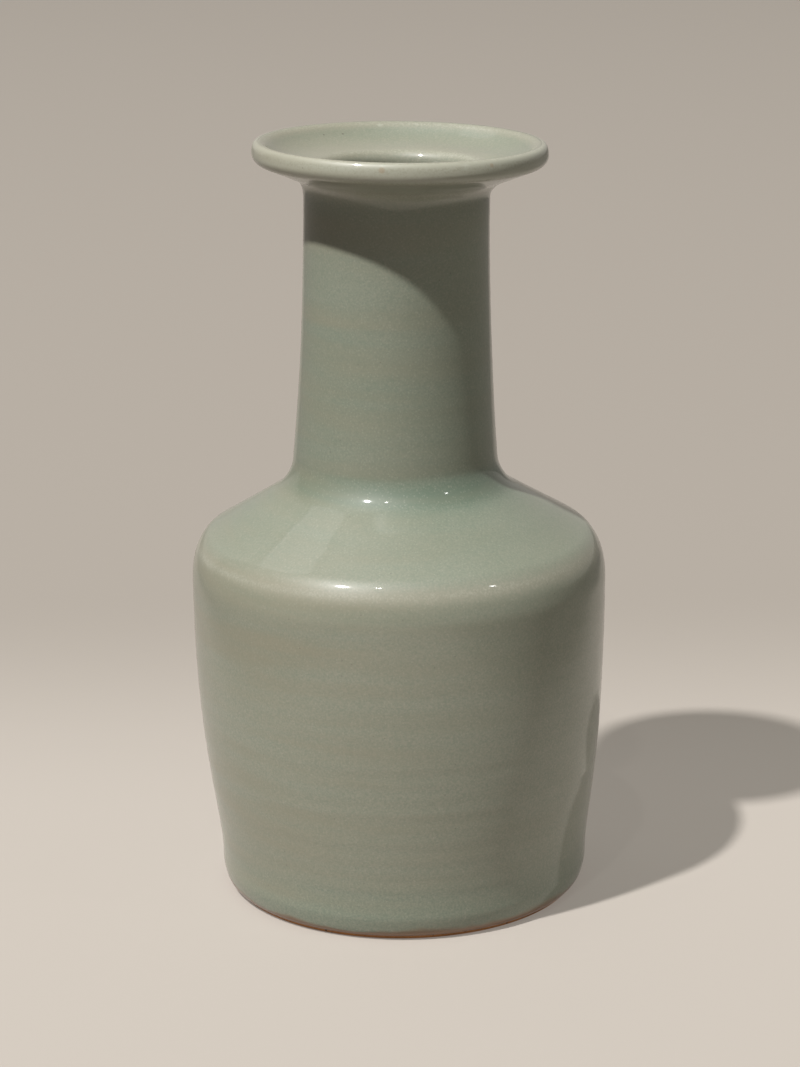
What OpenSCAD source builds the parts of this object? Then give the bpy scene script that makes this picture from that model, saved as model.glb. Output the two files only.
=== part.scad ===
// Mallet vase of glazed stoneware: a thrown body, shoulder, neck and dish mouth
// luted together with slip, then glazed outside, inside and under the base.
// Millimetres, +Z up, standing on Z = 0 with the axis of the wheel on Z.
// Diameters and heights are those of the finished vase, over its glaze.

/* [Foot] */
// Outer diameter of the bare clay ring that the vase stands on
foot_dia = 94; // [80:1:97]
// Width of the ring's flat resting face
foot_ring = 5; // [3:0.5:12]
// Depth of the recess turned into the base
foot_recess = 4; // [2:0.5:8]
// How far the recess narrows from the resting face to its roof, at the radius
foot_splay = 1; // [0:0.5:3]
// Bevel that eases both edges of the resting face
foot_ease = 0.4; // [0.2:0.1:0.7]
// Height of the bare edge that is wiped clean of glaze
bare_edge = 1.2; // [0.8:0.1:2]
// Height at which the rounded foot edge runs into the wall
foot_rise = 7; // [5:0.5:12]

/* [Body] */
// Diameter of the wall just above the foot
base_dia = 99; // [97:1:115]
// Widest diameter, at the top of the body
belly_dia = 110; // [90:1:150]
// Height of the body, from the foot to its seam with the shoulder
body_height = 85; // [50:1:150]
// Height above the foot over which the wall stays nearly upright
upright_low = 13.5; // [5:0.5:25]
// Height below the seam over which the wall stays nearly upright
upright_high = 50; // [10:1:60]
// Clay thickness of the body
body_wall = 4.2; // [2.5:0.1:7]
// Clay thickness of the floor
floor_wall = 5; // [3:0.5:10]
// Radius where the wall runs into the floor, inside
floor_radius = 8; // [3:0.5:16]

/* [Shoulder] */
// Rise from the seam to where the wall and the slope would meet in a corner
shoulder_rise = 9.5; // [6:0.5:20]
// Slope of the shoulder, in degrees above level
shoulder_slope = 31; // [15:1:45]
// Length of slope that the rounded shoulder edge takes up
shoulder_round = 6; // [4:0.5:14]

/* [Neck] */
// Diameter at the foot of the neck
neck_base_dia = 54; // [49:1:70]
// Diameter at the waist, where the neck meets the mouth
neck_top_dia = 48.4; // [36:0.2:53]
// Length of the neck between its two seams
neck_length = 67.9; // [30:0.1:120]
// Length of the hollow curve between shoulder and neck, on each side of the corner
neck_fillet = 5.5; // [3:0.5:12]
// Clay thickness of the neck
neck_wall = 3.2; // [2:0.1:5]

/* [Mouth] */
// Outer diameter over the lip
mouth_dia = 76.6; // [66:0.1:100]
// Slope of the dish's underside, in degrees above level
dish_slope = 22; // [15:1:35]
// Slope of the dish's inside where it leaves the lip, in degrees above level
rim_slope = 40; // [25:1:50]
// Slope of the dish's inside where it reaches the throat, in degrees above level
throat_slope = 8; // [2:1:20]
// Thickness of the dish at its lip, over its glaze
dish_thick = 6.7; // [4.5:0.1:8]
// Length of underside, and of lip face above it, that the lip's lower edge rounds
lip_under = 1.9; // [1:0.1:3]
// Length of the dish's inside that the crest of the lip rounds over
lip_over = 5.6; // [3.5:0.1:7]
// Length of the hollow curve between neck and dish, on each side of the corner
mouth_fillet = 3.8; // [2:0.1:7]
// Height of the throat's edge above the corner between neck and dish
throat_rise = 4.8; // [4:0.1:7]
// Length of dish, and of throat below it, that the edge between them rounds
throat_round = 1; // [1:0.1:4]

/* [Glaze and slip] */
// Thickness of the glaze coat
glaze = 0.7; // [0.3:0.1:1]
// Thickness of the slip that lutes two sections together
slip = 0.7; // [0.4:0.1:2]

/* [Hidden] */
$fn = 128;

// Steps in a short curve, and in the long wall and neck
curve_steps = 12;
wall_steps = 20;
// Pull of a blend's handles towards its corner: near that of a circle's arc
arc_pull = 0.6;
// Pull of the dish's hollow curve at the lip and at the throat, by the distance between them
lip_pull = 0.45;
throat_pull = 0.33;
// Share of the foot edge's height that the wall's line takes, before it turns under
foot_turn = 0.6;

foot_r = foot_dia / 2;
base_r = base_dia / 2;
belly_r = belly_dia / 2;
neck_base_r = neck_base_dia / 2;
neck_top_r = neck_top_dia / 2;
mouth_r = mouth_dia / 2;
hole_r = foot_r - foot_ring - 2 * foot_ease;

clay_colour = [0.56, 0.42, 0.32];
slip_colour = [0.66, 0.55, 0.44];
glaze_colour = [0.60, 0.61, 0.53];

// Unit vector at an angle above level
function heading(angle) = [cos(angle), sin(angle)];

// Cubic curve from a to d with the handles b and c, without its first point
function curve(a, b, c, d, steps) = [
    for (i = [1:steps])
        let (t = i / steps, s = 1 - t)
        s*s*s*a + 3*s*s*t*b + 3*s*t*t*c + t*t*t*d
];

// Rounded corner that leaves the line from a and joins the line to b, without a itself
function blend(a, corner, b) =
    curve(a, a + (corner - a) * arc_pull, b + (corner - b) * arc_pull, b, curve_steps);

// Direction to the left of a path at one of its points, which is into the clay
function into_clay(path, i) =
    let (a = path[max(i - 1, 0)], b = path[min(i + 1, len(path) - 1)], run = b - a)
    [-run[1], run[0]] / norm(run);

function slice(path, first, last) = [for (i = [first:last]) path[i]];

function reversed(path) = [for (i = [len(path) - 1:-1:0]) path[i]];

// Heights where each section ends, from the foot up. The neck leans in by neck_lean
// at its base, and is upright at its waist.
shoulder_z = body_height + slip;
edge_corner = [belly_r, shoulder_z + shoulder_rise];
neck_lean = 2 * (neck_base_r - neck_top_r) / neck_length;
neck_seam_r = neck_base_r + neck_lean * slip;
neck_corner_r = neck_seam_r + neck_lean * neck_fillet;
neck_corner = [neck_corner_r,
               edge_corner[1] + (belly_r - neck_corner_r) * tan(shoulder_slope)];
neck_seam_z = neck_corner[1] + neck_fillet;
neck_z = neck_seam_z + slip;
mouth_seam_z = neck_z + neck_length;
mouth_z = mouth_seam_z + slip;
mouth_corner = [neck_top_r, mouth_z + mouth_fillet];

// Outside of the body: the foot edge turns out from the bare ring into a wall that
// swells to the belly
foot_start = [foot_r + glaze, bare_edge];
foot_end = [base_r, foot_rise];
foot_corner = [base_r, bare_edge + (foot_rise - bare_edge) * (1 - foot_turn)];
body_side = concat(
    [foot_start],
    blend(foot_start, foot_corner, foot_end),
    curve(foot_end, foot_end + [0, upright_low],
          [belly_r, body_height - upright_high], [belly_r, body_height], wall_steps)
);

// Outside of the shoulder: round edge, straight slope, hollow curve up to the neck
uphill = [-cos(shoulder_slope), sin(shoulder_slope)];
shoulder_start = [belly_r, shoulder_z];
shoulder_side = concat(
    [shoulder_start],
    blend(shoulder_start, edge_corner, edge_corner + uphill * shoulder_round),
    [neck_corner - uphill * neck_fillet],
    blend(neck_corner - uphill * neck_fillet, neck_corner, [neck_seam_r, neck_seam_z])
);

// Outside of the neck: its radius falls with the square of the distance to the waist
neck_side = [
    for (i = [0:wall_steps])
        let (up = i / wall_steps)
        [neck_top_r + (neck_base_r - neck_top_r) * pow(1 - up, 2), neck_z + neck_length * up]
];

// Outside of the mouth: hollow curve, underside of the dish, and a lip whose face is
// rounded under below and over into the dish at its crest
outward = heading(dish_slope);
mouth_start = [neck_top_r, mouth_z];
lip_low = [mouth_r, mouth_corner[1] + (mouth_r - neck_top_r) * tan(dish_slope)];
lip_high = lip_low + [0, dish_thick / cos(dish_slope)];
lip_face = lip_low + [0, lip_under];
rim_end = lip_high - heading(rim_slope) * lip_over;
mouth_side = concat(
    [mouth_start],
    blend(mouth_start, mouth_corner, mouth_corner + outward * mouth_fillet),
    [lip_low - outward * lip_under],
    blend(lip_low - outward * lip_under, lip_low, lip_face),
    blend(lip_face, lip_high, rim_end)
);

outside = concat(body_side, shoulder_side, neck_side, mouth_side);
body_top = len(body_side) - 1;
shoulder_top = body_top + len(shoulder_side);
neck_top = shoulder_top + len(neck_side);
top = max([for (p = outside) p[1]]);
crest = [for (i = [0:len(outside) - 1]) if (outside[i][1] == top) i][0];

// Inside face across from a point of the outside: both glazes and the clay between
// them, which thins from the body's wall to the neck's over the shoulder
function clay_wall(z) =
    let (share = (z - body_height) / (neck_z - body_height))
    body_wall + (neck_wall - body_wall) * min(max(share, 0), 1);

function inside_point(i) =
    outside[i] + into_clay(outside, i) * (clay_wall(outside[i][1]) + 2 * glaze);

// Inside of the mouth: the dish is hollowed from the lip to the throat, and the throat
// drops to the top of its seam
throat_r = neck_top_r - neck_wall - 2 * glaze;
throat_corner = [throat_r, mouth_corner[1] + throat_rise];
throat_edge = throat_corner + heading(throat_slope) * throat_round;
dish_reach = norm(rim_end - throat_edge);
dish_side = concat(
    curve(rim_end, rim_end - heading(rim_slope) * dish_reach * lip_pull,
          throat_edge + heading(throat_slope) * dish_reach * throat_pull, throat_edge, curve_steps),
    blend(throat_edge, throat_corner, throat_corner - [0, throat_round]),
    [[throat_r, mouth_z]]
);

// Inside of the neck, shoulder and body down to where the wall turns into the floor
floor_z = foot_recess + floor_wall + glaze;
floor_end = [for (i = [0:body_top]) if (inside_point(i)[1] > floor_z + floor_radius) i][0];
wall_side = [for (i = [neck_top:-1:floor_end]) inside_point(i)];

// Floor: the wall's own line is carried down to the floor, and that corner is rounded
wall_foot = wall_side[len(wall_side) - 1];
wall_drop = wall_foot - wall_side[len(wall_side) - 2];
floor_corner = wall_foot + wall_drop * (floor_z - wall_foot[1]) / wall_drop[1];
floor_side = concat(blend(wall_foot, floor_corner, floor_corner - [floor_radius, 0]), [[0, floor_z]]);

// The finished surface as one line, from the foot edge over the lip and down to the
// middle of the floor, and the clay one glaze coat beneath it
finish = concat(outside, dish_side, wall_side, floor_side);
clay = [for (i = [0:len(finish) - 1]) finish[i] + into_clay(finish, i) * glaze];
floor_middle = len(finish) - 1;

// Place on the inside line that lies across from a point of the outside
function across(i) = len(outside) + len(dish_side) + neck_top - i;

// Turned foot from the middle of the base to the outer edge of the bare ring
foot_turning = [
    [0, foot_recess],
    [hole_r - foot_splay, foot_recess],
    [hole_r, foot_ease],
    [hole_r + foot_ease, 0],
    [foot_r - foot_ease, 0],
    [foot_r, foot_ease]
];

// Ring of clay between two points of the outside
module ring(first, last) {
    rotate_extrude()
        polygon(concat(slice(clay, first, last), slice(clay, across(last), across(first))));
}

// Coat of glaze between two points of the finished surface
module coat(first, last) {
    rotate_extrude()
        polygon(concat(slice(finish, first, last), reversed(slice(clay, first, last))));
}

module body() {
    color(clay_colour)
        rotate_extrude()
            polygon(concat(foot_turning, slice(clay, 0, body_top),
                           slice(clay, across(body_top), floor_middle)));
}

module shoulder() {
    color(clay_colour) ring(body_top + 1, shoulder_top);
}

module neck() {
    color(clay_colour) ring(shoulder_top + 1, neck_top);
}

// The clay line runs up the outside of the dish, over the lip and down the inside
module dish_mouth() {
    color(clay_colour)
        rotate_extrude()
            polygon(slice(clay, neck_top + 1, across(neck_top + 1)));
}

module body_seam() {
    color(slip_colour) ring(body_top, body_top + 1);
}

module neck_seam() {
    color(slip_colour) ring(shoulder_top, shoulder_top + 1);
}

module mouth_seam() {
    color(slip_colour) ring(neck_top, neck_top + 1);
}

module outer_glaze() {
    color(glaze_colour) coat(0, crest);
}

module inner_glaze() {
    color(glaze_colour) coat(crest, floor_middle);
}

// Disc of glaze on the roof of the recess, closed in by the foot ring
module base_glaze() {
    lower_r = hole_r - foot_splay * (foot_recess - glaze - foot_ease) / (foot_recess - foot_ease);
    color(glaze_colour)
        rotate_extrude()
            polygon([[0, foot_recess - glaze],
                     [lower_r, foot_recess - glaze],
                     [hole_r - foot_splay, foot_recess],
                     [0, foot_recess]]);
}

body();
shoulder();
neck();
dish_mouth();
body_seam();
neck_seam();
mouth_seam();
outer_glaze();
inner_glaze();
base_glaze();
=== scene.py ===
"""Looks of a mallet vase: grey-green celadon, thrown by hand, over burnt stoneware.

Lengths are millimetres and angles are degrees. Meshes are made in metres at the very end.
A line is an array of points (radius, height) on one side of the wheel's axis.
"""
import math

import bpy
import numpy as np
from mathutils import Matrix, Vector


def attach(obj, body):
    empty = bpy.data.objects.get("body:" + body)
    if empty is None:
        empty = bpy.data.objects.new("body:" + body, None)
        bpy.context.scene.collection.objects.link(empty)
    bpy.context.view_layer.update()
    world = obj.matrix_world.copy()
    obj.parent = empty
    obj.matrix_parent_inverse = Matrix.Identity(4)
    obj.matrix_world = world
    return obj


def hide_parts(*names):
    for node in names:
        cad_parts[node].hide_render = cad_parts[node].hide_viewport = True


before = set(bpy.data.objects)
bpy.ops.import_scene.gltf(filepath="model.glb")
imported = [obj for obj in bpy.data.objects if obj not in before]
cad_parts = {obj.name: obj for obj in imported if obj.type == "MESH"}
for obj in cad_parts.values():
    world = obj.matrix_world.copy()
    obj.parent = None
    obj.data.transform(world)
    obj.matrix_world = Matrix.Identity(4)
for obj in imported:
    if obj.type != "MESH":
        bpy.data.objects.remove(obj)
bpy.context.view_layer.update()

MM = 0.001

# Sizes of the vase over its glaze, as its solids have them
FOOT_R = 47.0
FOOT_RING = 5.0
FOOT_RECESS = 4.0
FOOT_SPLAY = 1.0
FOOT_EASE = 0.4
BARE_EDGE = 1.2
FOOT_RISE = 7.0
FOOT_TURN = 0.6
BASE_R = 49.5
BELLY_R = 55.0
BODY_HEIGHT = 85.0
UPRIGHT_LOW = 13.5
UPRIGHT_HIGH = 50.0
BODY_WALL = 4.2
FLOOR_WALL = 5.0
FLOOR_RADIUS = 8.0
SHOULDER_RISE = 9.5
SHOULDER_SLOPE = 31.0
SHOULDER_ROUND = 6.0
NECK_BASE_R = 27.0
NECK_TOP_R = 24.2
NECK_LENGTH = 67.9
NECK_FILLET = 5.5
NECK_WALL = 3.2
MOUTH_R = 38.3
DISH_SLOPE = 22.0
RIM_SLOPE = 40.0
THROAT_SLOPE = 8.0
DISH_THICK = 6.7
LIP_UNDER = 1.9
LIP_OVER = 5.6
MOUTH_FILLET = 3.8
THROAT_RISE = 4.8
GLAZE = 0.7
SLIP = 0.7
ARC_PULL = 0.6
LIP_PULL = 0.45
THROAT_PULL = 0.33

# How the potter's hand departs from a true turned form, with shifts to the right over 0
BODY_LEAN = -0.55
LEAN_RISE = (0.0, 70.0)
NECK_OFF = -0.45
NECK_TOP_OFF = 1.0
SEAT_BACK = 1.6
SEAT_TILT = 0.044
MOUTH_SHIFT = 0.95
MOUTH_TILT = 0.019
MOUTH_BLEND = 6.0
OVAL = 0.12
OVAL_RISE = (4.0, 60.0)
OVAL_TWIST = 70.0
EDGE_BEAD = 0.16
BASE_DOME = 0.35
THROAT_SOFT = 2.6

# Throwing rings: their pitch and height, what is kept of them high up, the shares of a main and
# a slow spiral, and the slow one's turns to each main turn
RING_PITCH = 4.3
RING_HEIGHT = 0.03
RING_FADE = (35.0, 80.0)
RING_KEPT = 0.5
MAIN_RING = 0.6
SLOW_RING = 0.4
SLOW_TURNS = 0.61
SLOW_START = 1.3

# Dents: waves round the vase, their lengths up it, and where they start
DENT_DEPTH = 0.10
MAIN_WAVES = 3
MAIN_TWIST = 23.0
MAIN_LENGTH = 17.0
MAIN_START = 0.7
SECOND_DENT = 0.6
SECOND_WAVES = 5
SECOND_TWIST = 31.0
SECOND_START = 2.0

# Lengths at the start and end of a coat over which its rings and dents come and go
FADE_IN = (1.0, 8.0)
FADE_OUT = (2.0, 12.0)

# Depth of the even glaze and of the base's, and how much thinner the ridges of the rings are
EVEN_DEPTH = 0.5
BASE_DEPTH = 0.6
RING_THIN = 0.02

# Grid of the pieces that show and of those under the glaze, steps of the curves, and the length
# that a radian of turn counts for when rows are spaced
FINE_AROUND = 320
PLAIN_AROUND = 128
OUTSIDE_ROWS = 250
INSIDE_ROWS = 200
BACK_ROWS = 36
BASE_ROWS = 40
ARC_STEPS = 24
WALL_STEPS = 60
TURN_LENGTH = 10.0

# Camera that took the picture, set from the outline of the vase
CAMERA_BACK = 746.6
CAMERA_UP = 310.8
CAMERA_SIDE = -0.15
CAMERA_PITCH = 16.04
CAMERA_ROLL = 0.645
CAMERA_LENS = 98.44
SENSOR = 36.0


def point(radius, height):
    return np.array([radius, height], dtype=float)


def heading(angle):
    """Unit step at an angle above level."""
    return point(math.cos(math.radians(angle)), math.sin(math.radians(angle)))


def cubic(a, b, c, d, steps=ARC_STEPS):
    """Cubic curve from a to d with handles b and c, without its first point."""
    t = np.linspace(0, 1, steps + 1)[1:, None]
    s = 1 - t
    return s**3 * a + 3 * s * s * t * b + 3 * s * t * t * c + t**3 * d


def blend(a, corner, b):
    """Rounded corner between the line from a and the line to b, without a itself."""
    return cubic(a, a + (corner - a) * ARC_PULL, b + (corner - b) * ARC_PULL, b)


def into_clay(line):
    """Unit step to the left of a line at each of its points, which is into the clay."""
    ahead = np.vstack([line[1:], line[-1:]])
    behind = np.vstack([line[:1], line[:-1]])
    run = ahead - behind
    return np.column_stack([-run[:, 1], run[:, 0]]) / np.linalg.norm(run, axis=1)[:, None]


# Heights and corners that follow from the sizes
SHOULDER_Z = BODY_HEIGHT + SLIP
EDGE_CORNER = point(BELLY_R, SHOULDER_Z + SHOULDER_RISE)
NECK_LEAN = 2 * (NECK_BASE_R - NECK_TOP_R) / NECK_LENGTH
NECK_SEAM_R = NECK_BASE_R + NECK_LEAN * SLIP
NECK_CORNER_R = NECK_SEAM_R + NECK_LEAN * NECK_FILLET
SLOPE_RISE = (BELLY_R - NECK_CORNER_R) * math.tan(math.radians(SHOULDER_SLOPE))
NECK_CORNER = point(NECK_CORNER_R, EDGE_CORNER[1] + SLOPE_RISE)
NECK_Z = NECK_CORNER[1] + NECK_FILLET + SLIP
MOUTH_Z = NECK_Z + NECK_LENGTH + SLIP
MOUTH_CORNER = point(NECK_TOP_R, MOUTH_Z + MOUTH_FILLET)
OUTWARD = heading(DISH_SLOPE)
LIP_LOW = point(MOUTH_R, MOUTH_CORNER[1] + (MOUTH_R - NECK_TOP_R) * OUTWARD[1] / OUTWARD[0])
LIP_HIGH = LIP_LOW + point(0, DISH_THICK / OUTWARD[0])
RIM_END = LIP_HIGH - heading(RIM_SLOPE) * LIP_OVER
THROAT_R = NECK_TOP_R - NECK_WALL - 2 * GLAZE
THROAT_CORNER = point(THROAT_R, MOUTH_CORNER[1] + THROAT_RISE)
HOLE_R = FOOT_R - FOOT_RING - 2 * FOOT_EASE
ROOF_R = HOLE_R - FOOT_SPLAY


def body_side():
    """Foot edge that turns out from the bare ring, then a wall that swells to the belly."""
    start = point(FOOT_R + GLAZE, BARE_EDGE)
    end = point(BASE_R, FOOT_RISE)
    corner = point(BASE_R, BARE_EDGE + (FOOT_RISE - BARE_EDGE) * (1 - FOOT_TURN))
    wall = cubic(end, end + point(0, UPRIGHT_LOW), point(BELLY_R, BODY_HEIGHT - UPRIGHT_HIGH),
                 point(BELLY_R, BODY_HEIGHT), WALL_STEPS)
    return np.vstack([start[None], blend(start, corner, end), wall])


def shoulder_side():
    """Round edge, straight slope, and the hollow curve up to the neck."""
    uphill = heading(180 - SHOULDER_SLOPE)
    start = point(BELLY_R, SHOULDER_Z)
    hollow = NECK_CORNER - uphill * NECK_FILLET
    return np.vstack([start[None],
                      blend(start, EDGE_CORNER, EDGE_CORNER + uphill * SHOULDER_ROUND),
                      hollow[None],
                      blend(hollow, NECK_CORNER, point(NECK_SEAM_R, NECK_Z - SLIP))])


def neck_side():
    """The radius falls with the square of the distance to the waist at the top."""
    up = np.linspace(0, 1, WALL_STEPS + 1)
    radius = NECK_TOP_R + (NECK_BASE_R - NECK_TOP_R) * (1 - up) ** 2
    return np.column_stack([radius, NECK_Z + NECK_LENGTH * up])


def mouth_side():
    """Hollow curve, underside of the dish, lower edge of the lip, and its crest."""
    start = point(NECK_TOP_R, MOUTH_Z)
    under = LIP_LOW - OUTWARD * LIP_UNDER
    face = LIP_LOW + point(0, LIP_UNDER)
    return np.vstack([start[None],
                      blend(start, MOUTH_CORNER, MOUTH_CORNER + OUTWARD * MOUTH_FILLET),
                      under[None],
                      blend(under, LIP_LOW, face),
                      blend(face, LIP_HIGH, RIM_END)])


def dish_side():
    """Dish that is hollowed from the lip to the throat, the rounded edge of the throat, and
    the throat down to the neck's seam."""
    edge = THROAT_CORNER + heading(THROAT_SLOPE) * THROAT_SOFT
    reach = np.linalg.norm(RIM_END - edge)
    return np.vstack([cubic(RIM_END, RIM_END - heading(RIM_SLOPE) * reach * LIP_PULL,
                            edge + heading(THROAT_SLOPE) * reach * THROAT_PULL, edge),
                      blend(edge, THROAT_CORNER, THROAT_CORNER - point(0, THROAT_SOFT)),
                      point(THROAT_R, MOUTH_Z)[None]])


def wall_side(outside, neck_top):
    """Inside of neck, shoulder and body: the outside moved in by both glazes and the clay,
    which thins from the body's wall to the neck's over the shoulder."""
    share = np.clip((outside[:, 1] - BODY_HEIGHT) / (NECK_Z - BODY_HEIGHT), 0, 1)
    thick = BODY_WALL + (NECK_WALL - BODY_WALL) * share + 2 * GLAZE
    inside = outside + into_clay(outside) * thick[:, None]
    down = inside[neck_top::-1]
    return down[down[:, 1] > FOOT_RECESS + FLOOR_WALL + GLAZE + FLOOR_RADIUS]


def floor_side(wall):
    """The wall's own line is carried down to the floor, and that corner is rounded."""
    level = FOOT_RECESS + FLOOR_WALL + GLAZE
    drop = wall[-1] - wall[-2]
    corner = wall[-1] + drop * (level - wall[-1, 1]) / drop[1]
    return np.vstack([blend(wall[-1], corner, corner - point(FLOOR_RADIUS, 0)),
                      point(0, level)[None]])


class Lines:
    """The finished surface as one line from the foot edge over the lip to the middle of the
    floor, the clay one coat beneath it, and the places where sections end."""

    def __init__(self):
        sides = [body_side(), shoulder_side(), neck_side(), mouth_side()]
        outside = np.vstack(sides)
        ends = np.cumsum([len(side) for side in sides]) - 1
        self.body_top, self.shoulder_top, self.neck_top = ends[:3]
        dish = dish_side()
        wall = wall_side(outside, self.neck_top)
        self.finish = np.vstack([outside, dish, wall, floor_side(wall)])
        self.clay = self.finish + into_clay(self.finish) * GLAZE
        self.clay[-1, 0] = 0
        self.crest = int(np.argmax(self.finish[:, 1]))
        self.inside_start = len(outside) + len(dish)

    def across(self, i):
        """Place on the inside line that lies across from a point of the outside."""
        return self.inside_start + self.neck_top - i

    def mouth(self):
        """Outline of the dish above its seam."""
        first = self.neck_top + 1
        return self.clay[first:self.across(first) + 1]

    def section(self, first, last):
        """Outline of the clay between two points of the outside."""
        return np.vstack([self.clay[first:last + 1],
                          self.clay[self.across(last):self.across(first) + 1]])


def spread(line, rows):
    """The same line on a given number of rows, spaced by length plus the turn length for each
    radian that it turns, so that edges get more rows."""
    step = np.diff(line, axis=0)
    length = np.linalg.norm(step, axis=1)
    angle = np.unwrap(np.arctan2(step[:, 1], step[:, 0]))
    turn = np.abs(np.diff(angle, prepend=angle[0]))
    place = np.concatenate([[0], np.cumsum(length + TURN_LENGTH * turn)])
    even = np.linspace(0, place[-1], rows)
    return np.column_stack([np.interp(even, place, line[:, k]) for k in (0, 1)])


def smooth(value, low, high):
    """Rises from 0 at low to 1 at high without a corner."""
    t = np.clip((value - low) / (high - low), 0, 1)
    return t * t * (3 - 2 * t)


def by_hand(radius, height, around):
    """Places of the grid (metres) after the potter's hand: the body leans as it rises, the neck
    is luted on off centre and leans, its seat lies back and higher in front, the mouth sits off
    centre and tilts, and each round is a little oval."""
    around = around[None, :]
    radius = radius + OVAL * smooth(height, *OVAL_RISE) * np.cos(2 * around + height / OVAL_TWIST)
    mouth = smooth(height, MOUTH_Z, MOUTH_Z + MOUTH_BLEND)
    neck = np.clip((height - NECK_Z) / NECK_LENGTH, 0, 1)
    x = radius * np.cos(around)
    y = radius * np.sin(around)
    seat = smooth(height, SHOULDER_Z + SHOULDER_RISE, NECK_Z) * (1 - neck)
    z = height - MOUTH_TILT * x * mouth - SEAT_TILT * y * seat
    y = y + SEAT_BACK * seat
    x = x + BODY_LEAN * smooth(height, *LEAN_RISE) + NECK_OFF * smooth(height, SHOULDER_Z, NECK_Z)
    x = x + NECK_TOP_OFF * neck + MOUTH_SHIFT * mouth
    return np.stack([x, y, z], axis=-1) * MM


def throwing(height, around):
    """Soft rings left by the fingers: a spiral of one pitch, crossed by a slower one."""
    turn = 2 * np.pi * height / RING_PITCH
    slow = np.sin(SLOW_TURNS * turn + SLOW_START + np.sin(around))
    return MAIN_RING * np.sin(turn + around) + SLOW_RING * slow


def dents(height, around):
    """Broad shallow unevenness of a hand-made wall: twisted waves round the vase that come and
    go with height, and finer ones that twist the other way."""
    main = np.sin(MAIN_WAVES * around + height / MAIN_TWIST) * np.sin(height / MAIN_LENGTH + MAIN_START)
    second = np.sin(SECOND_WAVES * around - height / SECOND_TWIST + SECOND_START)
    return main + SECOND_DENT * second


def mesh_piece(name, places, faces, depth=None):
    """Mesh object from places (n, 3) and faces, with the depth of the glaze at its points."""
    mesh = bpy.data.meshes.new(name)
    mesh.from_pydata(places, [], faces)
    if depth is not None:
        layer = mesh.attributes.new("glaze_depth", "FLOAT", "POINT")
        layer.data.foreach_set("value", np.ascontiguousarray(depth, dtype=np.float32).ravel())
    mesh.shade_smooth()
    mesh.validate()
    mesh.update()
    piece = bpy.data.objects.new(name, mesh)
    bpy.context.collection.objects.link(piece)
    return piece


def grid(line, around):
    """Radius and height of a line's rows at each angle, and the angles."""
    angles = np.linspace(0, 2 * np.pi, around, endpoint=False)
    return np.repeat(line[:, :1], around, axis=1), np.repeat(line[:, 1:], around, axis=1), angles


def ring_faces(rows, around, closed):
    """Faces between neighbouring rows of a grid, with the last row joined to the first on a
    closed one. They face to the right of the line."""
    i, j = np.meshgrid(np.arange(rows if closed else rows - 1), np.arange(around), indexing="ij")
    up, on = (i + 1) % rows, (j + 1) % around
    corners = [i * around + j, i * around + on, up * around + on, up * around + j]
    return np.stack(corners, axis=-1).reshape(-1, 4).tolist()


def pole_faces(pole, ring, upwards):
    """Fan of triangles that closes a ring of points at a pole on the axis."""
    ahead = np.roll(ring, -1)
    sides = [ring, ahead] if upwards else [ahead, ring]
    return np.stack([np.full(len(ring), pole), *sides], axis=-1).tolist()


def turned_ring(name, radius, height, angles, depth=None):
    """Solid of a closed line: point (i, j) is row i of the line at angle j."""
    places = by_hand(radius, height, angles).reshape(-1, 3)
    return mesh_piece(name, places, ring_faces(*radius.shape, True), depth)


def turned_disc(name, radius, height, angles, depth=None):
    """Solid of a line that starts and ends on the axis: its first and last rows are single
    points there, and a fan of triangles closes each."""
    rows, around = radius.shape[0] - 2, radius.shape[1]
    grid_places = by_hand(radius, height, angles)
    places = np.vstack([grid_places[1:-1].reshape(-1, 3), grid_places[[0, -1], 0]])
    faces = ring_faces(rows, around, False)
    first = np.arange(around)
    faces += pole_faces(rows * around, first, False)
    faces += pole_faces(rows * around + 1, first + (rows - 1) * around, True)
    if depth is not None:
        depth = np.append(depth[1:-1].ravel(), depth[[0, -1], 0])
    return mesh_piece(name, places, faces, depth)


# Where the glaze pools, over 0, or draws thin: height, reach up and down, change of depth
FOOT_BELT = (FOOT_RISE, 9.0, 0.18)
SHOULDER_EDGE = (EDGE_CORNER[1] - 0.6, 1.8, -0.28)
SHOULDER_COAT = (NECK_CORNER[1] - 8.0, 7.0, 0.08)
NECK_HOLLOW = (NECK_CORNER[1] + 0.9, 3.8, 0.38)
NECK_COAT = (NECK_Z + 0.3 * NECK_LENGTH, 38.0, 0.14)
UNDER_DISH = (MOUTH_CORNER[1] + 0.6, 2.0, -0.25)
LIP_FACE = (LIP_LOW[1] + 2.0, 2.8, -0.45)
LIP_EDGE = (LIP_LOW[1] + 0.5, 0.8, -0.15)
LIP_CREST = (RIM_END[1] + 0.7, 0.7, -0.30)
IN_DISH = (THROAT_CORNER[1] + 4.0, 3.0, 0.08)
THROAT_EDGE = (THROAT_CORNER[1], 0.8, -0.20)
IN_THROAT = (THROAT_CORNER[1] - 6.0, 5.0, -0.2)
OUTSIDE_LIE = (FOOT_BELT, SHOULDER_EDGE, SHOULDER_COAT, NECK_HOLLOW, NECK_COAT, UNDER_DISH,
               LIP_FACE, LIP_EDGE, LIP_CREST)
INSIDE_LIE = (IN_THROAT, THROAT_EDGE, IN_DISH, LIP_CREST)


def glaze_depth(height, lie):
    """Depth of the glaze from 0, thin, to 1, pooled: the even depth plus one bell of height
    for each place where the glaze gathers or draws off."""
    depth = np.full_like(height, EVEN_DEPTH)
    for middle, reach, change in lie:
        depth += change * np.exp(-((height - middle) / reach) ** 2)
    return depth


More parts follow.
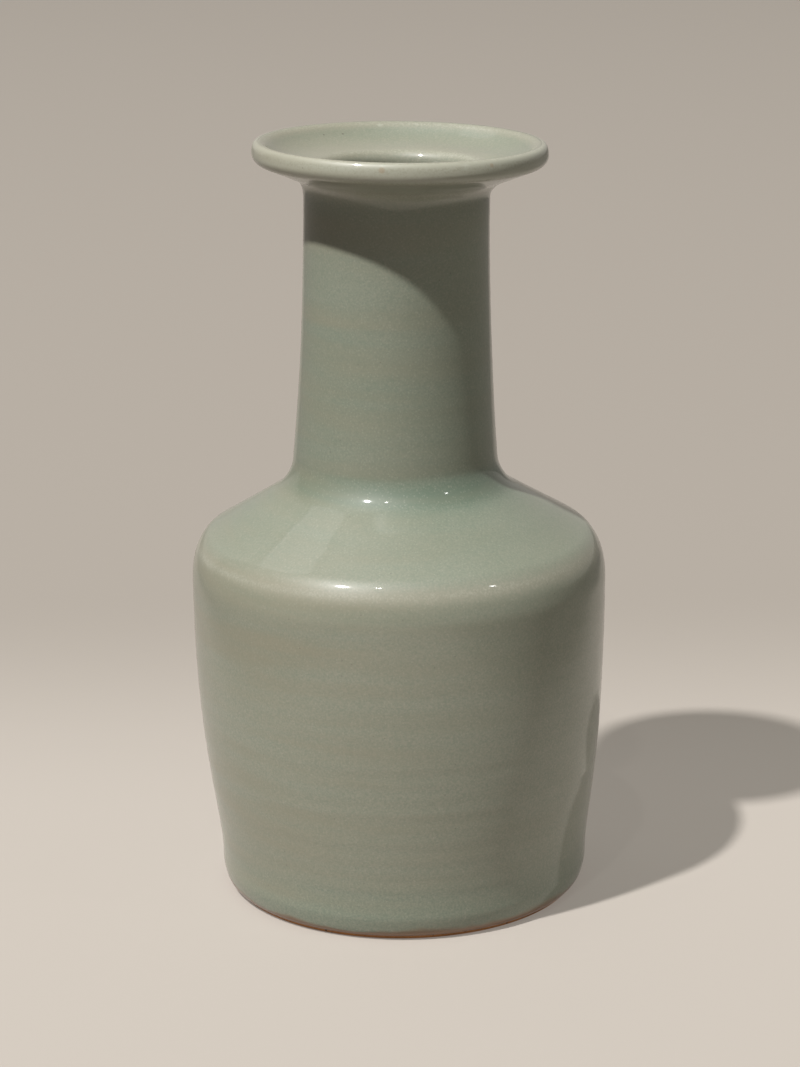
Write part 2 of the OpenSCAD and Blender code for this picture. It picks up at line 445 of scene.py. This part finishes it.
def thrown_skin(skin, lie):
    """Radius, height and glaze depth of a finished surface on its grid. Rings and dents move
    it along its own normal, and fade out where the coat ends. Rings are weaker high up, and
    their ridges are glazed thinner."""
    radius, height, angles = grid(skin, FINE_AROUND)
    place = np.concatenate([[0], np.cumsum(np.linalg.norm(np.diff(skin, axis=0), axis=1))])
    fade = smooth(place, *FADE_IN) * smooth(place[-1] - place, *FADE_OUT)
    strength = 1 - (1 - RING_KEPT) * smooth(height, *RING_FADE)
    ring = throwing(height, angles[None]) * strength * fade[:, None]
    move = RING_HEIGHT * ring + DENT_DEPTH * dents(height, angles[None]) * fade[:, None]
    outward = -into_clay(skin)
    depth = np.clip(glaze_depth(height, lie) - RING_THIN * ring, 0, 1)
    return radius + outward[:, :1] * move, height + outward[:, 1:] * move, depth


def outer_glaze(lines):
    """Coat from its beaded edge over the foot up to the crest, and back down its clay side."""
    skin = spread(lines.finish[:lines.crest + 1], OUTSIDE_ROWS)
    bead = EDGE_BEAD * np.exp(-((skin[:, 1] - 2 * BARE_EDGE) / BARE_EDGE) ** 2)
    radius, height, depth = thrown_skin(skin - into_clay(skin) * bead[:, None], OUTSIDE_LIE)
    back = spread(lines.clay[lines.crest::-1], BACK_ROWS)
    back_radius, back_height, angles = grid(back, FINE_AROUND)
    depth = np.vstack([depth, np.full(back_radius.shape, EVEN_DEPTH)])
    return turned_ring("glaze_outside", np.vstack([radius, back_radius]),
                       np.vstack([height, back_height]), angles, depth)


def inner_glaze(lines):
    """Coat from the middle of the floor up its clay side to the crest, and back inside."""
    skin = spread(lines.finish[lines.crest:], INSIDE_ROWS)
    radius, height, depth = thrown_skin(skin, INSIDE_LIE)
    back = spread(lines.clay[:lines.crest - 1:-1], BACK_ROWS)
    back_radius, back_height, angles = grid(back, FINE_AROUND)
    depth = np.vstack([np.full(back_radius.shape, EVEN_DEPTH), depth])
    return turned_disc("glaze_inside", np.vstack([back_radius, radius]),
                       np.vstack([back_height, height]), angles, depth)


def base_glaze():
    """Disc of glaze on the roof of the foot's recess, with a soft swell towards the middle."""
    lean = FOOT_SPLAY / (FOOT_RECESS - FOOT_EASE)
    edge = point(ROOF_R + GLAZE * lean, FOOT_RECESS - GLAZE)
    across = np.linspace(0, 1, BASE_ROWS)[:, None]
    under = point(0, edge[1] + BASE_DOME) * (1 - across**2) + edge * across**2
    under[:, 0] = edge[0] * across[:, 0]
    line = np.vstack([under, point(ROOF_R, FOOT_RECESS)[None], point(0, FOOT_RECESS)[None]])
    radius, height, angles = grid(line, PLAIN_AROUND)
    return turned_disc("glaze_base", radius, height, angles, np.full(radius.shape, BASE_DEPTH))


def thrown_body(lines):
    """Floor, turned foot and wall of the body: under the base, round the bare ring, up the
    outside of the clay and down its inside to the middle of the floor."""
    foot = np.array([[0, FOOT_RECESS], [ROOF_R, FOOT_RECESS], [HOLE_R, FOOT_EASE],
                     [HOLE_R + FOOT_EASE, 0], [FOOT_R - FOOT_EASE, 0], [FOOT_R, FOOT_EASE]])
    line = np.vstack([foot, lines.clay[:lines.body_top + 1],
                      lines.clay[lines.across(lines.body_top):]])
    return turned_disc("thrown_body", *grid(line, FINE_AROUND))


def thrown_ring(name, outline):
    """Section or seam between the two glazes, turned from its closed outline."""
    return turned_ring(name, *grid(outline, PLAIN_AROUND))


# Finishes. Places in a material are object coordinates in millimetres.

# Screen colours become linear by a straight part up to a knee and a power above it
SCREEN_KNEE = 0.04045
SCREEN_SLOPE = 12.92
SCREEN_LIFT = 0.055
SCREEN_POWER = 2.4

# Sockets of a mix node that take and give colours
MIX_SHARE = 0
MIX_UNDER = 6
MIX_OVER = 7
MIX_RESULT = 2


def colour(red, green, blue):
    """Screen colour from 0 to 255 as the linear colour that a shader takes."""
    share = np.array([red, green, blue]) / 255
    curve = ((share + SCREEN_LIFT) / (1 + SCREEN_LIFT)) ** SCREEN_POWER
    linear = np.where(share > SCREEN_KNEE, curve, share / SCREEN_SLOPE)
    return (*linear.tolist(), 1.0)


def join(tree, socket, value):
    """Links a socket to another one, or sets it to a plain value."""
    if isinstance(value, bpy.types.NodeSocket):
        tree.links.new(value, socket)
    else:
        socket.default_value = value


def put(tree, kind, inputs=None, **settings):
    """New shader node with its settings and inputs."""
    made = tree.nodes.new("ShaderNode" + kind)
    for name, value in settings.items():
        setattr(made, name, value)
    for label, value in (inputs or {}).items():
        join(tree, made.inputs[label], value)
    return made


def reckon(tree, operation, *values):
    """Result of a sum on one, two or three values or sockets."""
    return put(tree, "Math", dict(enumerate(values)), operation=operation).outputs[0]


def rise(tree, value, low, high, start=0.0, end=1.0):
    """Value carried over from low..high to start..end, smooth at both ends."""
    inputs = {"Value": value, "From Min": low, "From Max": high, "To Min": start, "To Max": end}
    return put(tree, "MapRange", inputs, interpolation_type="SMOOTHSTEP").outputs[0]


def tint(tree, share, under, over):
    """Colour that goes from under to over by a share."""
    inputs = {MIX_SHARE: share, MIX_UNDER: under, MIX_OVER: over}
    return put(tree, "Mix", inputs, data_type="RGBA").outputs[MIX_RESULT]


def stain(tree, mask, strength, under, over):
    """Colour that goes from under towards over by a mask, at a strength."""
    return tint(tree, reckon(tree, "MULTIPLY", mask, strength), under, over)


def facing(tree, way, target):
    """Share by which a direction points the target's way, from -1 to 1."""
    product = put(tree, "VectorMath", {0: way, 1: target}, operation="DOT_PRODUCT")
    return product.outputs["Value"]


def new_effect(name, sizes, output):
    """Empty shader node group that takes a place and named sizes, and its two ends."""
    tree = bpy.data.node_groups.new(name, "ShaderNodeTree")
    tree.interface.new_socket("Place", in_out="INPUT", socket_type="NodeSocketVector")
    for label in sizes:
        tree.interface.new_socket(label, in_out="INPUT", socket_type="NodeSocketFloat")
    tree.interface.new_socket(output, in_out="OUTPUT", socket_type="NodeSocketFloat")
    return tree, tree.nodes.new("NodeGroupInput").outputs, tree.nodes.new("NodeGroupOutput").inputs


# Part of the noise that clouds use, and how much of a speck or mark is solid
CLOUD_RANGE = (0.25, 0.75)
SPECK_CORE = 0.35
MARK_CORE = 0.5


def cloud_effect():
    """Soft clouds of a given width and height, from 0 to 1."""
    tree, given, result = new_effect("soft_clouds", ("Width", "Height", "Detail"), "Cloud")
    size = put(tree, "CombineXYZ", {0: given["Width"], 1: given["Width"], 2: given["Height"]})
    place = put(tree, "VectorMath", {0: given["Place"], 1: size.outputs[0]}, operation="DIVIDE")
    inputs = {"Vector": place.outputs[0], "Scale": 1.0, "Detail": given["Detail"]}
    noise = put(tree, "TexNoise", inputs)
    tree.links.new(rise(tree, noise.outputs[0], *CLOUD_RANGE), result["Cloud"])
    return tree


def speck_effect():
    """Scattered round specks: one to a cell of the given spacing, in a share of the cells,
    solid in the middle and soft towards their size."""
    tree, given, result = new_effect("scattered_specks", ("Spacing", "Size", "Share"), "Speck")
    scale = reckon(tree, "DIVIDE", 1.0, given["Spacing"])
    cells = put(tree, "TexVoronoi", {"Vector": given["Place"], "Scale": scale})
    reach = reckon(tree, "DIVIDE", given["Size"], given["Spacing"])
    core = reckon(tree, "MULTIPLY", reach, SPECK_CORE)
    near = rise(tree, cells.outputs["Distance"], core, reach, 1.0, 0.0)
    chance = put(tree, "SeparateColor", {0: cells.outputs["Color"]}).outputs[0]
    chosen = reckon(tree, "LESS_THAN", chance, given["Share"])
    tree.links.new(reckon(tree, "MULTIPLY", near, chosen), result["Speck"])
    return tree


CLOUD = cloud_effect()
SPECK = speck_effect()


def effect(tree, group, place, sizes):
    """Result of one of the shared effects, placed with its own sizes."""
    return put(tree, "Group", {"Place": place, **sizes}, node_tree=group).outputs[0]


def new_finish(name):
    """Empty material: its node tree, its shader and the place in millimetres."""
    material = bpy.data.materials.new(name)
    material.use_nodes = True
    tree = material.node_tree
    where = put(tree, "TexCoord").outputs["Object"]
    place = put(tree, "VectorMath", {0: where, "Scale": 1 / MM}, operation="SCALE").outputs[0]
    return material, tree, tree.nodes["Principled BSDF"], place


def feed(tree, shader, **inputs):
    """Sets or links the shader's inputs, with spaces for underscores."""
    for label, value in inputs.items():
        join(tree, shader.inputs[label.replace("_", " ")], value)


def bumps(tree, height, strength, depth):
    """Normal of a surface with small bumps of a depth."""
    inputs = {"Height": height, "Strength": strength, "Distance": depth * MM}
    return put(tree, "Bump", inputs).outputs[0]


def ramp(tree, value, stops):
    """Colour by value, through stops of (value, colour)."""
    made = put(tree, "ValToRGB", {0: value})
    elements = made.color_ramp.elements
    elements[0].position, elements[0].color = stops[0]
    elements[1].position, elements[1].color = stops[-1]
    for position, shade in stops[1:-1]:
        elements.new(position).color = shade
    return made.outputs[0]


def marks(tree, place, spots):
    """Mask of a few named spots: 1 inside each radius, with a soft edge."""
    total = 0.0
    for spot, radius in spots:
        away = put(tree, "VectorMath", {0: place, 1: spot}, operation="DISTANCE").outputs["Value"]
        near = rise(tree, away, MARK_CORE * radius, radius, 1.0, 0.0)
        total = reckon(tree, "MAXIMUM", total, near)
    return total


# Glaze by depth, from where it draws thin to where it pools
GLAZE_THIN = colour(158, 159, 145)
GLAZE_PALE = colour(137, 137, 122)
GLAZE_EVEN = colour(125, 129, 114)
GLAZE_DEEP = colour(109, 119, 104)
GLAZE_POOLED = colour(91, 107, 92)
GLAZE_BY_DEPTH = [(0.08, GLAZE_THIN), (0.3, GLAZE_PALE), (0.5, GLAZE_EVEN), (0.72, GLAZE_DEEP),
                  (0.95, GLAZE_POOLED)]
GLAZE_ROUGH = (0.5, 0.6)
GLAZE_IOR = 1.5
COAT_WEIGHT = 0.8
COAT_ROUGH = 0.065
GLAZE_BUMP = (0.15, 0.03)
MOTTLE_BUMP = 0.3

# Effects of the glaze: level bands, clouds, a fine mottle, bubbles and pinholes
BANDS = {"Width": 60.0, "Height": 5.0, "Detail": 2.0}
CLOUDS = {"Width": 22.0, "Height": 12.0, "Detail": 4.0}
MOTTLE = {"Width": 0.55, "Height": 0.5, "Detail": 3.0}
BUBBLES = {"Spacing": 0.8, "Size": 0.3, "Share": 0.7}
PINHOLES = {"Spacing": 2.6, "Size": 0.28, "Share": 0.25}
BUBBLE_TINT = 0.2
PINHOLE_TINT = 0.3

# Change of depth over the bands and by the mottle, which is weaker over the shoulder
BAND_DEPTH = 0.06
EFFECT_MIDDLE = 0.5
GRAIN_FADE = (80.0, 92.0)
GRAIN_BODY = 0.3
GRAIN_UPPER = 0.21

# Warmer glaze in the bands and clouds, on the upper body, and less of it towards the right,
# which is painted shade: the side away from the key lamp is made greener
GLAZE_WARM = colour(132, 126, 107)
WARM_BAND = 0.52
WARM_CLOUD = 0.12
WARM_START = -0.1
WARM_UPPER = 0.14
UPPER_RISE = (48.0, 78.0)
UPPER_FALL = (92.0, 97.0)
SHADED_SIDE_GREENING = (-30.0, 40.0)
SHADED_SIDE_WARM_KEPT = 0.3

# Marks of the kiln and of use: place and radius, colour and strength
IRON_SPOTS = [((7.4, -24.1, 143.0), 0.6), ((-14.2, 28.8, 198.6), 0.4), ((-19.2, 25.8, 198.8), 0.4)]
IRON_SPOT = colour(58, 50, 38)
IRON_TINT = 0.6
TAN_SPOTS = [((-3.6, -38.0, 199.3), 1.0), ((23.5, -30.8, 199.1), 0.7)]
CHIP_TAN = colour(138, 114, 86)
TAN_TINT = 0.4
PALE_NICKS = [((-4.4, 34.5, 199.8), 1.0), ((17.0, -34.7, 199.0), 0.8)]
NICK_TINT = 0.5

# Burnt line at the foot: where it starts to fade, and the longest reach of the fade
FOOT_BURN = colour(110, 70, 28)
BURN_LOW = 1.9
BURN_REACH = 3.4
BURN_TINT = 0.9


def celadon_glaze():
    """Soft grey-green glaze. Its colour follows its depth, with level bands where the wall was
    thrown, fine bubbles, pinholes, and a burnt line where it ends at the foot."""
    material, tree, shader, place = new_finish("celadon_glaze")
    depth = put(tree, "Attribute", attribute_name="glaze_depth").outputs["Fac"]
    across, _, height = put(tree, "SeparateXYZ", {0: place}).outputs
    band = effect(tree, CLOUD, place, BANDS)
    cloud = effect(tree, CLOUD, place, CLOUDS)
    mottle = effect(tree, CLOUD, place, MOTTLE)
    bubble = effect(tree, SPECK, place, BUBBLES)
    pinhole = effect(tree, SPECK, place, PINHOLES)

    uneven = reckon(tree, "MULTIPLY_ADD", band, BAND_DEPTH, -BAND_DEPTH * EFFECT_MIDDLE)
    strength = rise(tree, height, *GRAIN_FADE, GRAIN_BODY, GRAIN_UPPER)
    grain = reckon(tree, "SUBTRACT", mottle, EFFECT_MIDDLE)
    uneven = reckon(tree, "MULTIPLY_ADD", grain, strength, uneven)
    shade = ramp(tree, reckon(tree, "ADD", depth, uneven), GLAZE_BY_DEPTH)

    upper = reckon(tree, "MULTIPLY", rise(tree, height, *UPPER_RISE),
                   rise(tree, height, *UPPER_FALL, 1.0, 0.0))
    warm = reckon(tree, "MULTIPLY_ADD", cloud, WARM_CLOUD, WARM_START)
    warm = reckon(tree, "MULTIPLY_ADD", band, WARM_BAND, warm)
    warm = reckon(tree, "MULTIPLY_ADD", upper, WARM_UPPER, warm)
    # Painted shade: less warmth, so greener glaze, on the right side away from the key lamp
    warm = reckon(tree, "MULTIPLY", warm, rise(tree, across, *SHADED_SIDE_GREENING, 1.0, SHADED_SIDE_WARM_KEPT))
    shade = tint(tree, warm, shade, GLAZE_WARM)

    shade = stain(tree, bubble, BUBBLE_TINT, shade, GLAZE_THIN)
    shade = stain(tree, pinhole, PINHOLE_TINT, shade, IRON_SPOT)
    shade = stain(tree, marks(tree, place, PALE_NICKS), NICK_TINT, shade, GLAZE_THIN)
    shade = stain(tree, marks(tree, place, TAN_SPOTS), TAN_TINT, shade, CHIP_TAN)
    shade = stain(tree, marks(tree, place, IRON_SPOTS), IRON_TINT, shade, IRON_SPOT)
    burn_top = reckon(tree, "MULTIPLY_ADD", cloud, BURN_REACH, BURN_LOW)
    shade = tint(tree, rise(tree, height, BURN_LOW, burn_top, BURN_TINT, 0.0), shade, FOOT_BURN)

    rough = rise(tree, cloud, 0.0, 1.0, *GLAZE_ROUGH)
    relief = reckon(tree, "MULTIPLY_ADD", mottle, MOTTLE_BUMP, reckon(tree, "MULTIPLY", pinhole, -1.0))
    feed(tree, shader, Base_Color=shade, Roughness=rough, Normal=bumps(tree, relief, *GLAZE_BUMP),
         IOR=GLAZE_IOR, Coat_Weight=COAT_WEIGHT, Coat_Roughness=COAT_ROUGH)
    return material


# Bare clay and its grit
CLAY_BURNT = colour(168, 109, 55)
CLAY_DARK = colour(130, 82, 40)
CLAY_PALE = colour(188, 140, 98)
CLAY_GRIT = colour(48, 34, 26)
CLAY_CLOUDS = {"Width": 9.0, "Height": 6.0, "Detail": 5.0}
CLAY_GRAIN = {"Width": 0.5, "Height": 0.5, "Detail": 3.0}
CLAY_SPECKS = {"Spacing": 1.4, "Size": 0.4, "Share": 0.35}
GRAIN_TINT = 0.4
CLAY_ROUGH = (0.7, 0.9)
CLAY_BUMP = (0.6, 0.1)


def burnt_stoneware():
    """Bare clay, burnt reddish brown by the fire, with dark iron grit."""
    material, tree, shader, place = new_finish("burnt_stoneware")
    cloud = effect(tree, CLOUD, place, CLAY_CLOUDS)
    grain = effect(tree, CLOUD, place, CLAY_GRAIN)
    shade = tint(tree, cloud, CLAY_BURNT, CLAY_DARK)
    shade = stain(tree, grain, GRAIN_TINT, shade, CLAY_PALE)
    shade = tint(tree, effect(tree, SPECK, place, CLAY_SPECKS), shade, CLAY_GRIT)
    rough = rise(tree, grain, 0.0, 1.0, *CLAY_ROUGH)
    feed(tree, shader, Base_Color=shade, Roughness=rough, Normal=bumps(tree, grain, *CLAY_BUMP))
    return material


# Fired slip and its grog
SLIP_PALE = colour(176, 150, 124)
SLIP_DARK = colour(150, 124, 100)
SLIP_GROG = colour(120, 92, 70)
SLIP_GRAIN = {"Width": 0.8, "Height": 0.4, "Detail": 4.0}
SLIP_SPECKS = {"Spacing": 1.0, "Size": 0.3, "Share": 0.3}
SLIP_ROUGH = (0.75, 0.9)
SLIP_BUMP = (0.5, 0.1)


def luting_slip():
    """Fired slip between the thrown sections: paler than the clay, with fine grog."""
    material, tree, shader, place = new_finish("luting_slip")
    grain = effect(tree, CLOUD, place, SLIP_GRAIN)
    shade = tint(tree, grain, SLIP_PALE, SLIP_DARK)
    shade = tint(tree, effect(tree, SPECK, place, SLIP_SPECKS), shade, SLIP_GROG)
    rough = rise(tree, grain, 0.0, 1.0, *SLIP_ROUGH)
    feed(tree, shader, Base_Color=shade, Roughness=rough, Normal=bumps(tree, grain, *SLIP_BUMP))
    return material


def finish_pieces(lines):
    """Makes every piece of the vase in place of its solid, with its finish."""
    clay, slip, glaze = burnt_stoneware(), luting_slip(), celadon_glaze()
    body_end, neck_start, neck_end = lines.body_top, lines.shoulder_top, lines.neck_top
    shoulder = lines.section(body_end + 1, neck_start)
    neck = lines.section(neck_start + 1, neck_end)
    pieces = [(thrown_body(lines), "body", clay),
              (thrown_ring("thrown_shoulder", shoulder), "shoulder", clay),
              (thrown_ring("thrown_neck", neck), "neck", clay),
              (thrown_ring("thrown_mouth", lines.mouth()), "dish_mouth", clay)]
    seams = {"body_seam": body_end, "neck_seam": neck_start, "mouth_seam": neck_end}
    for node, last in seams.items():
        pieces.append((thrown_ring("slip_" + node, lines.section(last, last + 1)), node, slip))
    pieces += [(outer_glaze(lines), "outer_glaze", glaze),
               (inner_glaze(lines), "inner_glaze", glaze),
               (base_glaze(), "base_glaze", glaze)]
    for piece, node, material in pieces:
        piece.data.materials.append(material)
        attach(piece, "root")
        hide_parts(node)


# Floor that glows a little, which lightens the vase's shadow on it, and where it dims: behind, in
# front and aside, which slants out. The dim parts are painted shade of the room: the glaze reflects
# them, and they throw less light back onto the vase
FLOOR_PALE = colour(137, 131, 124)
FLOOR_BACK_SHADE = colour(118, 112, 105)
FLOOR_PAINTED_SHADE = colour(80, 76, 72)
FLOOR_GLOW = 0.83
FLOOR_ROUGH = 0.9
FLOOR_REACH = 8000.0
BACK_FADE = (40.0, 260.0)
FRONT_FADE = (-850.0, -250.0)
SIDE_FADE = (170.0, 260.0)
SIDE_SLANT = 0.2


def pale_floor():
    """Large plain floor, pale round the vase, and dimmer behind it, far in front and far to both
    sides, where it is painted shade. It glows a little, which lightens the vase's shadow on it.
    From below it is clear."""
    reach = FLOOR_REACH * MM
    corners = [(-reach, -reach, 0), (reach, -reach, 0), (reach, reach, 0), (-reach, reach, 0)]
    floor = mesh_piece("floor", corners, [(0, 1, 2, 3)])
    material, tree, shader, place = new_finish("floor")
    across, away, _ = put(tree, "SeparateXYZ", {0: place}).outputs
    aside = reckon(tree, "MULTIPLY_ADD", away, -SIDE_SLANT, reckon(tree, "ABSOLUTE", across))
    # Painted shade: the floor darkens behind, far in front and far aside
    shade = tint(tree, rise(tree, away, *BACK_FADE), FLOOR_PALE, FLOOR_BACK_SHADE)
    shade = tint(tree, rise(tree, away, *FRONT_FADE, 1.0, 0.0), shade, FLOOR_PAINTED_SHADE)
    shade = tint(tree, rise(tree, aside, *SIDE_FADE), shade, FLOOR_PAINTED_SHADE)
    feed(tree, shader, Base_Color=shade, Roughness=FLOOR_ROUGH, Emission_Color=shade,
         Emission_Strength=FLOOR_GLOW)
    clear = put(tree, "BsdfTransparent")
    below = put(tree, "NewGeometry").outputs["Backfacing"]
    both = put(tree, "MixShader", {0: below, 1: shader.outputs[0], 2: clear.outputs[0]})
    tree.links.new(both.outputs[0], tree.nodes["Material Output"].inputs["Surface"])
    floor.data.materials.append(material)


# Lamps: azimuth from the front, to the right over 0, elevation, size and watts
LAMPS = {"key_lamp": (-47.0, 57.5, 320.0, 1090.0),
         "top_lamp": (-18.0, 62.0, 180.0, 36.0),
         "right_lamp": (62.0, 40.0, 400.0, 13.0),
         "back_lamp": (-136.0, 53.0, 2600.0, 14.0)}
LAMP_AWAY = 8000.0
LAMP_WARM = (1.0, 0.985, 0.975)
AIM_HEIGHT = 110.0

# Room: its colours, the azimuth and elevation of two of them, and how each comes in
ROOM_DIM = (0.026, 0.028, 0.023, 1.0)
ROOM_RIGHT = (0.33, 0.325, 0.285, 1.0)
ROOM_PALE = (0.45, 0.42, 0.38, 1.0)
ROOM_ABOVE = (0.225, 0.228, 0.2, 1.0)
RIGHT_WAY = (66.0, 27.0)
PALE_WAY = (168.0, 0.0)
RIGHT_RISE = (0.3, 1.0)
PALE_RISE = (0.38, 0.5)
ABOVE_RISE = (0.7, 0.86)


def towards(azimuth, elevation):
    """Unit step from the vase at an azimuth from the front and an elevation."""
    a, e = math.radians(azimuth), math.radians(elevation)
    return math.sin(a) * math.cos(e), -math.cos(a) * math.cos(e), math.sin(e)


def lamp(name, azimuth, elevation, size, power):
    """Soft round lamp that is aimed at the middle of the vase."""
    light = bpy.data.lights.new(name, "AREA")
    light.shape = "DISK"
    light.size = size * MM
    light.energy = power
    light.color = LAMP_WARM
    way = Vector(towards(azimuth, elevation))
    holder = bpy.data.objects.new(name, light)
    holder.location = way * (LAMP_AWAY * MM) + Vector((0, 0, AIM_HEIGHT * MM))
    holder.rotation_euler = (-way).to_track_quat("-Z", "Y").to_euler()
    bpy.context.collection.objects.link(holder)


def studio():
    """Key lamp at the upper left, weak lamps for the other glints, and a broad one from behind
    that lies as a pale patch on the shoulder."""
    for name, settings in LAMPS.items():
        lamp(name, *settings)


def room():
    """Room that is dim in front, with a soft glow on the right, pale behind, a little further
    round on the right, and pale overhead."""
    world = bpy.data.worlds.new("room")
    world.use_nodes = True
    tree = world.node_tree
    way = put(tree, "TexCoord").outputs["Generated"]
    right = facing(tree, way, towards(*RIGHT_WAY))
    behind = facing(tree, way, towards(*PALE_WAY))
    above = put(tree, "SeparateXYZ", {0: way}).outputs["Z"]
    light = tint(tree, rise(tree, right, *RIGHT_RISE), ROOM_DIM, ROOM_RIGHT)
    light = tint(tree, rise(tree, behind, *PALE_RISE), light, ROOM_PALE)
    light = tint(tree, rise(tree, above, *ABOVE_RISE), light, ROOM_ABOVE)
    tree.links.new(light, tree.nodes["Background"].inputs["Color"])
    bpy.context.scene.world = world


def picture_camera():
    """Camera that sees the vase as the picture does."""
    camera = bpy.data.cameras.new("camera")
    camera.lens = CAMERA_LENS
    camera.sensor_width = SENSOR
    camera.sensor_fit = "AUTO"
    holder = bpy.data.objects.new("camera", camera)
    place = Matrix.Translation((CAMERA_SIDE * MM, -CAMERA_BACK * MM, CAMERA_UP * MM))
    pitch = Matrix.Rotation(math.radians(90 - CAMERA_PITCH), 4, "X")
    roll = Matrix.Rotation(math.radians(-CAMERA_ROLL), 4, "Z")
    holder.matrix_world = place @ pitch @ roll
    bpy.context.collection.objects.link(holder)
    bpy.context.scene.camera = holder


finish_pieces(Lines())
pale_floor()
studio()
room()
picture_camera()
bpy.context.scene.view_settings.view_transform = "Standard"
